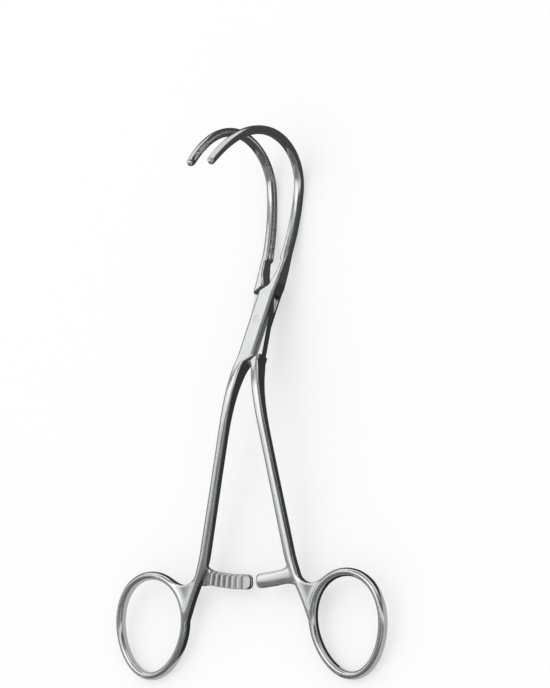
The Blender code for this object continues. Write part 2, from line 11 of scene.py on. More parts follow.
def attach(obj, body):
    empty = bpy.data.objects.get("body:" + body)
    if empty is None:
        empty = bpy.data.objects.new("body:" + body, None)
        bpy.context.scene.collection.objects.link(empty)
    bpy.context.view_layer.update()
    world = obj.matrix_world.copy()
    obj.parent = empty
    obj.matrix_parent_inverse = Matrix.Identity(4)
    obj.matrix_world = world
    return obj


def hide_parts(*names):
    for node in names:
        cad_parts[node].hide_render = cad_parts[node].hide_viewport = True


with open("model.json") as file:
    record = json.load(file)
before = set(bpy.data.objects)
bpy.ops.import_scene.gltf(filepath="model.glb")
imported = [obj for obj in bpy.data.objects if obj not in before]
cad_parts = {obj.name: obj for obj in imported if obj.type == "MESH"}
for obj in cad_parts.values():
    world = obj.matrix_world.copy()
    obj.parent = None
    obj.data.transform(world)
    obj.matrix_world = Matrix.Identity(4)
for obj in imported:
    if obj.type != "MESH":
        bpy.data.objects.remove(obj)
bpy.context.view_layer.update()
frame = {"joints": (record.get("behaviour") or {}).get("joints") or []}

# Lengths below are in millimetres. Each arm is drawn closed, with X across the clamp, Y towards the
# jaws and Z towards the side that the jaws hook over, then opened and laid where the frame has it.
mm = 0.001
hinge = frame["joints"][0]
restTurn = -hinge["range_deg"][0] / 2  # degrees that each arm is opened at rest
faceGap = 0.15  # closing plane to each working face

lock = {
    "lean": 21.0,  # degrees that the lock leans back from the clamp's length
    "width": 8.2,
    "webWidth": 9.4,
    "thickness": 6.0,
    "reach": 12.5,  # pivot to the near end of a shoulder
    "heel": 15.3,  # pivot to its far end
    "tail": 3.2,  # how much farther the box reaches towards the shanks than towards the jaws
    "shankGap": 2.5,  # the shank's last section stands this far before the box
    "jawGap": 1.0,  # and the jaw's first section this far after it
    "room": 2.0,  # how far the cutting shapes reach past the lock
    "web": 2.8,
    "webRadius": 12.0,
    "sideRoom": 0.15,
    "endRoom": 0.25,
    "wallStep": 0.05,  # how much nearer the closing plane the slot's walls lie than the faces
    "squareness": 10.0,
}


def rad(degrees):
    return math.radians(degrees)


def mix(a, b, t):
    return a + (b - a) * min(max(t, 0.0), 1.0)


def ease(a, b, t):
    t = min(max(t, 0.0), 1.0)
    return a + (b - a) * t * t * (3 - 2 * t)


def lockFromClosed():
    return Matrix.Rotation(rad(lock["lean"]), 4, "X")


def lockWay():
    return Vector((math.cos(rad(lock["lean"])), -math.sin(rad(lock["lean"]))))


def worldFromLock(turn):
    # The lock's own Z is the pin's axis, and its origin the pivot
    axis = Vector(hinge["axis"]).normalized()
    across = Vector((1.0, 0.0, 0.0))
    along = axis.cross(across)
    lay = Matrix((across, along, axis)).transposed().to_4x4()
    lay.translation = Vector(hinge["pos_m"])
    return lay @ Matrix.Rotation(rad(turn), 4, "Z") @ Matrix.Scale(mm, 4)


shank = {
    "bendY": -50.0,
    "bendZ": 10.6,
    "lean": 2.2,  # degrees that the handles lean back below the bend
    "cant": 0.031,  # forward rise for each unit outwards
    "splay": 0.148,  # sideways travel for each unit of length
    "straightEnd": -94.0,
    "base": 4.1,
    "slim": 4.1,
    "low": 4.5,
    "depth": 4.1,
    "squareness": 2.6,
    "lockSquareness": 4.5,  # where the shank meets the box
    "footAngle": 176.0,  # degrees round the ring at which the shank grows out of its band
    "footStart": 0.7,  # share of the band's size at which the foot begins inside the ring
    "footShare": 0.91,  # and the share that it reaches
    "footRows": 5,  # that many sections later
    "waist": 0.45,  # share of the foot's length that stays as slim as the band
    "slimRate": 1.2,  # how soon the straight part is at its slimmest
    "steps": (24, 16, 28),  # sections of the foot, the straight part and the bend
}


def shankX(y):
    return shank["splay"] * abs(y)


def handleZ(x, y):
    back = (y - shank["bendY"]) * math.tan(rad(shank["lean"]))
    return shank["bendZ"] + back + shank["cant"] * (abs(x) - shankX(shank["bendY"]))


def handleWay():
    return Vector((math.cos(rad(shank["lean"])), math.sin(rad(shank["lean"]))))


def smoothCurve(start, startWay, end, endWay, count):
    # Points and directions of a cubic that leaves start along startWay and meets end along endWay
    start, end = Vector(start), Vector(end)
    span = (end - start).length
    first = Vector(startWay).normalized() * span
    last = Vector(endWay).normalized() * span
    found = []
    for i in range(1, count + 1):
        t = i / count
        point = (
            start * (2 * t**3 - 3 * t**2 + 1)
            + first * (t**3 - 2 * t**2 + t)
            + end * (3 * t**2 - 2 * t**3)
            + last * (t**3 - t**2)
        )
        way = (
            start * (6 * t**2 - 6 * t)
            + first * (3 * t**2 - 4 * t + 1)
            + end * (6 * t - 6 * t**2)
            + last * (3 * t**2 - 2 * t)
        )
        found.append((point, way.normalized()))
    return found


def station(point, way, left, right, halfDepth, inner, outer, groove=0.0):
    # One section of an arm: its place and direction from the side, its edges across, its squareness
    return {
        "point": point,
        "way": way,
        "left": left,
        "right": right,
        "halfDepth": halfDepth,
        "inner": inner,
        "outer": outer,
        "groove": groove,
    }


def shankStations():
    found = []
    footSteps, straightSteps, bendSteps = shank["steps"]
    square = shank["squareness"]
    foot, outward = ringLine(rad(shank["footAngle"]))
    low = Vector((-foot.x, foot.y))
    top = Vector((-shankX(shank["straightEnd"]), shank["straightEnd"]))
    lower = smoothCurve(low, (-outward.y, -outward.x), top, (shank["splay"], 1.0), footSteps)
    lower.insert(0, (low, None))
    for i, (point, _) in enumerate(lower):
        t = (i / footSteps - shank["waist"]) / shank["waist"]
        share = mix(shank["footStart"], shank["footShare"], i / shank["footRows"])
        half = ease(ring["band"] * share, shank["low"], t) / 2
        depth = ease(ring["depth"] * share, shank["depth"], t) / 2
        place = Vector((point.y, handleZ(point.x, point.y)))
        left, right = point.x - half, point.x + half
        found.append(station(place, handleWay(), left, right, depth, square, square))
    for i in range(1, straightSteps + 1):
        t = i / straightSteps
        y = mix(shank["straightEnd"], shank["bendY"], t)
        half = ease(shank["low"], shank["slim"], shank["slimRate"] * t) / 2
        place = Vector((y, handleZ(shankX(y), y)))
        left, right = -shankX(y) - half, -shankX(y) + half
        found.append(station(place, handleWay(), left, right, shank["depth"] / 2, square, square))
    start = Vector((shank["bendY"], shank["bendZ"]))
    lockEnd = lockWay() * -(lock["heel"] + lock["tail"] + lock["shankGap"])
    bend = smoothCurve(start, handleWay(), lockEnd, lockWay(), bendSteps)
    for i, (place, way) in enumerate(bend):
        t = (i + 1) / bendSteps
        half = ease(shank["slim"], shank["base"], t) / 2
        centre = -max(shankX(place.x), faceGap + half)
        depth = mix(shank["depth"], lock["thickness"], t * t) / 2
        flat = mix(square, shank["lockSquareness"], t * t)
        found.append(station(place, way, centre - half, centre + half, depth, flat, flat))
    return found


def lockStations(width):
    half = width / 2
    square = lock["squareness"]
    rows = (
        (-lock["heel"] - lock["tail"], -faceGap - shank["base"], -faceGap),
        (-lock["reach"] - lock["tail"], -half, half),
        (0.0, -half, half),
        (lock["reach"], -half, half),
        (lock["heel"], faceGap, jaw["backBase"]),
    )
    way = lockWay()
    deep = lock["thickness"] / 2
    return [station(way * d, way, left, right, deep, square, square) for d, left, right in rows]


jaw = {
    "stemEnd": (54.8, -15.4),
    "crest": (21.6, 23.2),  # the hook's crest from the stem's end, along the clamp and across it
    "reach": 52.0,  # the hook's tip from the stem's end, across the clamp
    "drop": 14.4,  # crest to tip, along the clamp
    "backBase": 4.3,  # closing plane to the jaw's back
    "backHeel": 4.05,
    "backTip": 3.0,
    "depthBase": 4.5,
    "depthHeel": 3.75,
    "depthTip": 3.4,
    "bow": 0.65,  # how far the working face stands off at the heel: the tips meet first
    "faceStart": 24.9,  # where the toothed face begins, from the pivot
    "relief": 1.2,  # how far the plain face before it stands back
    "groove": 0.6,
    "grooveEnd": 3,  # sections in which the groove runs out at the tip
    "inner": 9.0,  # squareness on the working face's side
    "outer": 2.4,  # and on the jaw's back
    "outerStart": 8.0,  # the back's squareness at the lock
    # A rate of 4 means that the change is over after a quarter of the stem
    "thinRate": 4.0,
    "bowRate": 3.0,
    "reliefRate": 8.0,
    "roundRate": 3.0,
    "tipRound": 1.9,  # how far the rounded tip stands out
    "tipTurn": 88.0,  # degrees that its sections go round
    "tipInner": (4.0, 2.2),  # squareness where the rounding begins, and halfway round
    "steps": (40, 72, 8),  # sections of the stem, the hook and the rounded tip
}


def hookPoint(t):
    # Place and direction on the hook from the stem's end: an elliptic heel, then a falling parabola
    high, far = jaw["crest"]
    if t <= 0.5:
        angle = math.pi * t
        place = Vector((high * math.sin(angle), far * (1 - math.cos(angle))))
        return place, Vector((high * math.cos(angle), far * math.sin(angle))).normalized()
    on = 2 * t - 1
    length = jaw["reach"] - far
    place = Vector((high - jaw["drop"] * on * on, far + length * on))
    return place, Vector((-2 * jaw["drop"] * on, length)).normalized()


def jawStations():
    found = []
    stemSteps, hookSteps, tipSteps = jaw["steps"]
    inner, outer = jaw["inner"], jaw["outer"]
    start = lockWay() * (lock["heel"] + lock["jawGap"])
    heel = Vector(jaw["stemEnd"])
    stem = smoothCurve(start, lockWay(), heel, (1.0, 0.0), stemSteps)
    stem.insert(0, (start, lockWay()))
    for place, way in stem:
        t = (place.x - start.x) / (heel.x - start.x)
        back = mix(jaw["backBase"], jaw["backHeel"], t)
        depth = mix(jaw["depthBase"], jaw["depthHeel"], t)
        half = mix(lock["thickness"], depth, jaw["thinRate"] * t) / 2
        onFace = place.x >= jaw["faceStart"]
        face = faceGap + jaw["bow"] * min(1.0, jaw["bowRate"] * t)
        if not onFace:
            face += ease(0.0, jaw["relief"], jaw["reliefRate"] * t)
        rounded = mix(jaw["outerStart"], outer, jaw["roundRate"] * t)
        groove = jaw["groove"] if onFace else 0.0
        found.append(station(place, way, face, back, half, inner, rounded, groove))
    for i in range(1, hookSteps + 1):
        t = i / hookSteps
        place, way = hookPoint(t)
        back = mix(jaw["backHeel"], jaw["backTip"], t)
        half = mix(jaw["depthHeel"], jaw["depthTip"], t) / 2
        face = faceGap + jaw["bow"] * (1 - t)
        groove = jaw["groove"] * min(1.0, (hookSteps - i) / jaw["grooveEnd"])
        found.append(station(heel + place, way, face, back, half, inner, outer, groove))
    last = found[-1]
    middle = (faceGap + jaw["backTip"]) / 2
    for k in range(1, tipSteps + 1):
        # The tip is rounded off in every direction
        angle = rad(jaw["tipTurn"] * k / tipSteps)
        share = math.cos(angle)
        place = last["point"] + last["way"] * jaw["tipRound"] * math.sin(angle)
        half = share * (jaw["backTip"] - faceGap) / 2
        deep = jaw["depthTip"] / 2 * share
        square = mix(*jaw["tipInner"], 2 * k / tipSteps)
        left, right = middle - half, middle + half
        found.append(station(place, last["way"], left, right, deep, square, outer))
    return found


toothing = {
    "pitch": 0.75,
    "height": 0.35,  # above the working face
    "notch": 0.28,  # drop between two teeth
    "flank": 0.1,  # drop halfway down a tooth's flank
    "bevel": 0.1,  # drop at the ends of a tooth
    "flat": 0.8,  # share of a tooth's width between its bevels
    "sink": 0.25,
    "middleHalfWidth": 0.17,  # shares of the jaw's half depth
    "sideCentre": 0.41,
    "sideHalfWidth": 0.10,
    "middleGroove": (0.0, 0.22),  # where the face is grooved for the other jaw's teeth
    "sideGrooves": (0.25, 0.57),
}


def sectionAngles():
    # Angles of a section's points: evenly spaced places across the working face, for the walls of
    # its grooves, and every six degrees round the rest
    face = [math.pi + math.atan(f / 50) for f in range(-45, 46, 3)]
    rest = [rad(a) for a in range(-134, 135, 6)]
    return sorted(rest) + sorted(face)


def squareSize(angle, power):
    # Distance to the edge of a rounded square: 2 gives a circle, and more gives sharper corners
    return (abs(math.cos(angle)) ** power + abs(math.sin(angle)) ** power) ** (-1 / power)


def armSection(row, grooves):
    half = (row["right"] - row["left"]) / 2
    middle = (row["right"] + row["left"]) / 2
    points = []
    for angle in sectionAngles():
        power = row["inner"] if math.cos(angle) < 0 else row["outer"]
        size = squareSize(angle, power)
        across = middle + half * size * math.cos(angle)
        up = row["halfDepth"] * size * math.sin(angle)
        share = abs(math.tan(angle))
        if math.cos(angle) < 0 and grooves[0] <= share <= grooves[1]:
            across += row["groove"]
        way = row["way"]
        points.append(Vector((across, row["point"].x - way.y * up, row["point"].y + way.x * up)))
    return points


def loft(rings, closed=False):
    shape = bmesh.new()
    rows = [[shape.verts.new(point) for point in points] for points in rings]
    pairs = list(zip(rows, rows[1:]))
    if closed:
        pairs.append((rows[-1], rows[0]))
    for low, high in pairs:
        for i in range(len(low)):
            j = (i + 1) % len(low)
            shape.faces.new((low[i], low[j], high[j], high[i]))
    if not closed:
        shape.faces.new(tuple(reversed(rows[0])))
        shape.faces.new(tuple(rows[-1]))
    bmesh.ops.recalc_face_normals(shape, faces=shape.faces)
    return shape


def closedShape(rings, mirrored, closed=False):
    # A loft drawn in the closed clamp, mirrored for the other side, in the lock's own axes
    shape = loft(rings, closed)
    if mirrored:
        bmesh.ops.scale(shape, vec=(-1.0, 1.0, 1.0), verts=shape.verts)
        bmesh.ops.reverse_faces(shape, faces=shape.faces)
    bmesh.ops.transform(shape, matrix=lockFromClosed(), verts=shape.verts)
    return shape


def meshFrom(shapes, name):
    whole = bmesh.new()
    for shape in shapes:
        part = bpy.data.meshes.new(name + ".part")
        shape.to_mesh(part)
        shape.free()
        whole.from_mesh(part)
        bpy.data.meshes.remove(part)
    mesh = bpy.data.meshes.new(name)
    whole.to_mesh(mesh)
    whole.free()
    return mesh


def newObject(name, mesh):
    obj = bpy.data.objects.new(name, mesh)
    bpy.context.scene.collection.objects.link(obj)
    return obj


def settle(obj):
    # Keeps what the object's modifiers make, and drops the modifiers
    bpy.context.view_layer.update()
    graph = bpy.context.evaluated_depsgraph_get()
    made = bpy.data.meshes.new_from_object(obj.evaluated_get(graph))
    obj.modifiers.clear()
    old = obj.data
    obj.data = made
    bpy.data.meshes.remove(old)


def carve(obj, tools):
    # Joins or cuts the object with each closed shape, then deletes the shapes
    made = []
    for shape, operation in tools:
        tool = newObject(obj.name + ".tool", meshFrom([shape], "tool"))
        modifier = obj.modifiers.new("carve", "BOOLEAN")
        modifier.operation = operation
        modifier.solver = "EXACT"
        modifier.object = tool
        made.append(tool)
    settle(obj)
    for tool in made:
        bpy.data.objects.remove(tool, do_unlink=True)


skin = {
    "voxel": 0.285,
    "cornerRounds": 70,  # each round fills sharp inner corners a little more
    "cornerStep": 0.5,
    "cornersBelow": -84.0,  # the handles' end, where forging leaves soft corners
    "cornersFade": 4.0,
    "sharpAngle": 38.0,  # degrees between two faces from which their edge is drawn sharp
    "smoothRounds": 6,
    "smoothStep": 0.4,
}


def skinOver(obj):
    # One skin over all of an arm's joined forms, with soft inner corners at ring, web and ratchet
    modifier = obj.modifiers.new("skin", "REMESH")
    modifier.mode = "VOXEL"
    modifier.voxel_size = skin["voxel"]
    settle(obj)
    mesh = obj.data
    count = len(mesh.vertices)
    points = np.empty(count * 3)
    mesh.vertices.foreach_get("co", points)
    points = points.reshape(-1, 3)
    edges = np.empty(len(mesh.edges) * 2, dtype=np.int64)
    mesh.edges.foreach_get("vertices", edges)
    ends = edges.reshape(-1, 2)
    here = np.concatenate((ends[:, 0], ends[:, 1]))
    there = np.concatenate((ends[:, 1], ends[:, 0]))
    links = np.bincount(here, minlength=count)

    def pull(now):
        # From each point to the middle of its neighbours
        sums = [np.bincount(here, weights=now[there, k], minlength=count) for k in range(3)]
        return np.stack(sums, axis=1) / links[:, None] - now

    turn = np.array(lockFromClosed().inverted().to_3x3())
    alongClosed = (points @ turn.T)[:, 1]
    handles = np.clip((skin["cornersBelow"] - alongClosed) / skin["cornersFade"], 0.0, 1.0)[:, None]
    normals = np.empty(count * 3)
    for _ in range(skin["cornerRounds"]):
        mesh.vertices.foreach_set("co", points.ravel())
        mesh.update()
        mesh.vertex_normals.foreach_get("vector", normals)
        outward = normals.reshape(-1, 3)
        step = pull(points)
        lift = np.clip((step * outward).sum(axis=1), 0.0, None)[:, None]
        points = points + outward * lift * skin["cornerStep"] * handles
    for _ in range(skin["smoothRounds"]):
        points = points + pull(points) * skin["smoothStep"]
    mesh.vertices.foreach_set("co", points.ravel())
    mesh.update()


# Rings and the webs that tie them to the shanks
ring = {
    "x": 40.74,
    "y": -124.79,
    "turn": 5.0,  # degrees that its long axis leans in when closed
    "width": 31.2,
    "height": 37.2,
    "band": 3.4,
    "depth": 4.4,
    "egg": 0.10,  # how much broader it is above its middle
    "squareness": 2.1,
    "webDepth": 3.4,
    "webStart": 112,  # degrees round the ring at which the web leaves its outer edge
    "webEnd": 186,
    "webStep": 5,
    "webSink": 0.25,  # how far the web's edge starts inside the ring's
    "neck": (2.2, -4.5),  # where its edge meets the shank, from the straight part's end
    "valley": (8.5, 8.0),  # how far the web's edge holds on to the ring's and to the shank's line
    "valleySteps": 20,
    "steps": 144,
    "sides": 28,
}


def ringLine(angle):
    halfWidth = (ring["width"] + ring["band"]) / 2
    halfHeight = (ring["height"] + ring["band"]) / 2

    def place(a):
        across = halfWidth * math.cos(a) * (1 + ring["egg"] * math.sin(a))
        return Vector((across, halfHeight * math.sin(a)))

    turn = Matrix.Rotation(rad(ring["turn"]), 2)
    step = 0.001
    along = place(angle + step) - place(angle - step)
    outward = Vector((along.y, -along.x)).normalized()
    return turn @ place(angle) + Vector((ring["x"], ring["y"])), turn @ outward


def fingerRing(mirrored):
    rings = []
    for i in range(ring["steps"]):
        place, outward = ringLine(2 * math.pi * i / ring["steps"])
        section = []
        for k in range(ring["sides"]):
            a = 2 * math.pi * (k + 0.5) / ring["sides"]
            size = squareSize(a, ring["squareness"])
            flat = place + outward * (ring["band"] / 2 * size * math.cos(a))
            up = ring["depth"] / 2 * size * math.sin(a)
            section.append(Vector((flat.x, flat.y, handleZ(flat.x, flat.y) + up)))
        rings.append(section)
    return closedShape(rings, mirrored, closed=True)


def ringWeb(mirrored):
    angles = range(ring["webEnd"], ring["webStart"], -ring["webStep"])
    alongRing = [ringLine(rad(angle))[0] for angle in angles]
    place, outward = ringLine(rad(ring["webStart"]))
    start = place + outward * (ring["band"] / 2 - ring["webSink"])
    neck = Vector((shankX(shank["straightEnd"]), shank["straightEnd"])) + Vector(ring["neck"])
    early = start + Vector((-outward.y, outward.x)) * ring["valley"][0]
    late = neck + Vector((shank["splay"], -1.0)) * ring["valley"][1]
    valley = []
    for i in range(ring["valleySteps"] + 1):
        t = i / ring["valleySteps"]
        low, middle, high = start.lerp(early, t), early.lerp(late, t), late.lerp(neck, t)
        valley.append(low.lerp(middle, t).lerp(middle.lerp(high, t), t))
    half = ring["webDepth"] / 2
    rings = []
    for up in (-half, half):
        rings.append([Vector((p.x, p.y, handleZ(p.x, p.y) + up)) for p in alongRing + valley])
    return closedShape(rings, mirrored)


# Ratchets, swept about the pin so that both pass at a constant clearance
ratchet = {
    "y": -104.0,
    "height": 6.0,
    "thickness": 2.3,
    "rim": 0.6,  # plain strip above the teeth
    "pitch": 2.94,
    "tooth": 0.8,
    "landShare": 0.5,
    "tipLand": 4.6,
    "step": 0.25,  # run of a tooth's steep side
    "rootLand": 3.5,
    "clearance": 0.12,
    "frontReach": 25.8,
    "backReach": 17.8,
    "tipRun": (0.0, 0.12, 0.3, 0.55, 0.9, 1.3, 1.8, 2.4),  # sections along the rounded tip
    "tipHeight": 0.42,  # share of the bar's height at its very tip
    "tipInset": 0.25,  # how much thinner each side is there
    "barStart": 3.0,  # first section past the tip
    "barStep": 0.8,
    "flare": 1.3,  # how much taller the root grows into the shank
    "flareRun": 5.5,
    "squareness": 7.0,
    "plainSquareness": 2.4,  # of the rounder plain front of the bar that is toothed at the back
    "sides": 24,
    "sink": 0.02,  # how far the bar reaches into its teeth
    # Sections of the plain tip: along the bar, share of a tooth's height, share of the bar's height
    "tipRows": (
        (0.35, 0.72, 0.50), (0.5, 0.86, 0.62), (0.8, 0.96, 0.75),
        (1.2, 1.0, 0.86), (1.8, 1.0, 0.94), (2.4, 1.0, 0.97),
    ),
    "toothShare": 0.97,  # share of the bar's height that the teeth cover
    "landEdge": (0.12, 0.9),  # run of a land's broken edge, and the share of the height left there
    "valley": 0.04,  # share of the height left in a valley
    "rampShares": (0.15, 0.3, 0.45, 0.6, 0.75, 0.9),
    "bevel": (0.02, 0.25),  # least and largest bevel along a tooth's ends
    "bevelShare": 0.4,
    "rootSink": 0.35,  # how far the teeth reach into the bar
}


def barSection(along, reach, profile, side):
    axis = lockFromClosed().inverted().to_3x3() @ Vector((0.0, 0.0, 1.0))
    middle = Vector((0.0, ratchet["y"], handleZ(shankX(ratchet["y"]), ratchet["y"])))
    radius = (middle - axis * middle.dot(axis)).length
    turn = Matrix.Rotation((reach - along - shankX(ratchet["y"])) / radius, 3, axis)
    return [turn @ (middle + Vector((0.0, up, -side * out))) for up, out in profile]


def ratchetBar(reach, toothedFront, mirrored):
    side = 1.0 if toothedFront else -1.0
    near = ratchet["clearance"] + ratchet["tooth"]
    far = ratchet["clearance"] + ratchet["thickness"]
    tipEnd, start, step = ratchet["tipRun"][-1], ratchet["barStart"], ratchet["barStep"]
    alongs = list(ratchet["tipRun"])
    alongs += [start + step * i for i in range(int((reach - start) / step))]
    rings = []
    for along in alongs + [reach]:
        # The tip is rounded, and the root grows taller into the shank
        tip = math.sqrt(max(0.0, 1 - (1 - min(along, tipEnd) / tipEnd) ** 2))
        flare = max(0.0, (along - reach + ratchet["flareRun"]) / ratchet["flareRun"]) ** 2
        half = ratchet["height"] / 2 * mix(ratchet["tipHeight"], 1.0, tip) + ratchet["flare"] * flare
        inset = mix(ratchet["tipInset"], 0.0, tip)
        low, high = near - ratchet["sink"] + inset, far - inset
        profile = []
        for i in range(ratchet["sides"]):
            a = 2 * math.pi * (i + 0.5) / ratchet["sides"]
            plain = math.sin(a) > 0 and not toothedFront
            size = squareSize(a, ratchet["plainSquareness" if plain else "squareness"])
            out = (low + high) / 2 + (high - low) / 2 * size * math.sin(a)
            profile.append((half * size * math.cos(a), out))
        rings.append(barSection(along, reach, profile, side))
    return closedShape(rings, mirrored)


def ratchetTeeth(reach, toothedFront, mirrored):
    side = 1.0 if toothedFront else -1.0
    near = ratchet["clearance"] + ratchet["tooth"]
    pitch, step, whole = ratchet["pitch"], ratchet["step"], ratchet["toothShare"]
    edge, edgeTall = ratchet["landEdge"]
    ramp = pitch * (1 - ratchet["landShare"])
    at = ratchet["tipLand"]
    rows = list(ratchet["tipRows"]) + [(at - edge, 1.0, whole), (at, edgeTall, whole)]
    for _ in range(int((reach - ratchet["tipLand"] - ratchet["rootLand"]) / pitch)):
        rows.append((at + step, ratchet["valley"], whole))
        for share in ratchet["rampShares"]:
            rows.append((at + mix(step, ramp, share), ease(0.0, 1.0, share), whole))
        rows.append((at + ramp, 1.0, whole))
        rows.append((at + pitch - edge, 1.0, whole))
        rows.append((at + pitch, edgeTall, whole))
        at += pitch
    rows.append((at + step, 0.0, whole))
    root = near + ratchet["rootSink"]
    leastBevel, largestBevel = ratchet["bevel"]
    rings = []
    for along, tall, share in rows:
        top = near - ratchet["tooth"] * tall
        low = -ratchet["height"] / 2 * share
        high = min(ratchet["height"] / 2 * share, ratchet["height"] / 2 - ratchet["rim"])
        bevel = min(largestBevel, max(leastBevel, (near - top) * ratchet["bevelShare"]))
        lowSide = [(low, root), (low, top + bevel), (low + bevel, top)]
        highSide = [(high - bevel, top), (high, top + bevel), (high, root)]
        rings.append(barSection(along, reach, lowSide + highSide, side))
    return closedShape(rings, mirrored)


def toothRow(centre, halfWidth, mirrored):
    # Raised row of cross teeth along the whole of a working face
    rows = [row for row in jawStations() if row["groove"]]
    lengths = [0.0]
    for low, high in zip(rows, rows[1:]):
        lengths.append(lengths[-1] + (high["point"] - low["point"]).length)
    drops = (toothing["notch"], toothing["flank"], 0.0, toothing["flank"])
    count = len(drops) * round(lengths[-1] / toothing["pitch"])
    rings = []
    k = 0
    for i in range(count + 1):
        at = lengths[-1] * i / count
        while k < len(rows) - 2 and lengths[k + 1] < at:
            k += 1
        t = (at - lengths[k]) / (lengths[k + 1] - lengths[k])
        point = rows[k]["point"].lerp(rows[k + 1]["point"], t)
        way = rows[k]["way"].lerp(rows[k + 1]["way"], t).normalized()
        deep = mix(rows[k]["halfDepth"], rows[k + 1]["halfDepth"], t)
        face = mix(rows[k]["left"], rows[k + 1]["left"], t)
        top = face - toothing["height"] + drops[i % len(drops)]
        foot = face + toothing["sink"]
        end, flat = top + toothing["bevel"], toothing["flat"]
        profile = [(-1.0, foot), (-1.0, end), (-flat, top), (flat, top), (1.0, end), (1.0, foot)]
        section = []
        for share, across in profile:
            up = deep * (centre + halfWidth * share)
            section.append(Vector((across, point.x - way.y * up, point.y + way.x * up)))
        rings.append(section)
    return closedShape(rings, mirrored)


def prism(outline, low, high):
    return loft([[Vector((x, y, z)) for x, y in outline] for z in (low, high)])


def arc(radius, start, end, count=48):
    steps = [rad(start + (end - start) * i / count) for i in range(count + 1)]
    return [(radius * math.cos(a), radius * math.sin(a)) for a in steps]


def slotOutline():
    radius = lock["webRadius"] + lock["endRoom"]
    wall = faceGap - lock["wallStep"]
    edge = math.degrees(math.asin(wall / radius))
    far = lock["heel"] + lock["tail"] + lock["room"]
    right = [(far, 0.0), (far, -far), (-wall, -far)]
    left = [(-far, 0.0), (-far, far), (wall, far)]
    return arc(radius, 90 - edge, 0) + right + arc(radius, -90 - edge, -180) + left


def shoulderY(x):
    slope = (lock["heel"] - lock["reach"]) / (lock["width"] / 2 + faceGap)
    room = lock["endRoom"] * math.sqrt(1 + slope * slope)
    return lock["reach"] + slope * (x + lock["width"] / 2) + room


def recessOutline():
    wide = 2 * lock["width"]
    upper = [(wide, shoulderY(wide)), (-wide, shoulderY(-wide))]
    return upper + [(-x, -y - lock["tail"]) for x, y in upper]


def webEndOutline():
    edge = math.degrees(math.asin(faceGap / lock["webRadius"]))
    far = lock["heel"] + lock["tail"] + lock["room"]
    return arc(lock["webRadius"], 0, 90 + edge) + [(-faceGap, far), (far, far), (far, 0.0)]


pin = {
    "radius": 1.6,
    "room": 0.03,
    "setBack": 0.02,  # from the cheeks' faces
    "chamfer": 0.05,
    "sides": 96,
}


def circle(radius):
    return arc(radius, 0, 360, pin["sides"])[:-1]


def pinHole():
    return prism(circle(pin["radius"] + pin["room"]), -lock["thickness"], lock["thickness"])


steelLook = {
    "colour": (0.70, 0.70, 0.705, 1.0),
    "shade": (0.60, 0.60, 0.61, 1.0),  # where the polishing wheel reached less
    # Painted shade: the colour that narrow gaps darken to
    "creviceShade": (0.10, 0.10, 0.105, 1.0),
    "creviceShadeReach": 0.0017,
    "creviceShadeSpan": (0.25, 0.85),  # shares of open space from quite dark to quite bright
    "lineDepth": 0.10,
    "lineHeight": 0.00006,
    "patchScale": 0.16,
    "patchShare": 0.45,  # what the patches say in the roughness, next to the lines
    "noiseSpan": (0.36, 0.66),  # noise from smoothest to roughest
}

# Stretch and scale of the polishing lines, then lowest and highest roughness
finishes = {
    "boxArmSteel": (0.05, 5.0, 0.11, 0.24),
    "throughArmSteel": (0.05, 5.0, 0.11, 0.24),
    "toothSteel": (0.3, 4.0, 0.2, 0.38),
    "pinSteel": (0.08, 4.0, 0.16, 0.3),
}


def newGroup(name, sockets):
    group = bpy.data.node_groups.new(name, "ShaderNodeTree")
    for label, way, kind in sockets:
        group.interface.new_socket(label, in_out=way, socket_type=kind)
    return group, group.nodes.new("NodeGroupInput"), group.nodes.new("NodeGroupOutput")


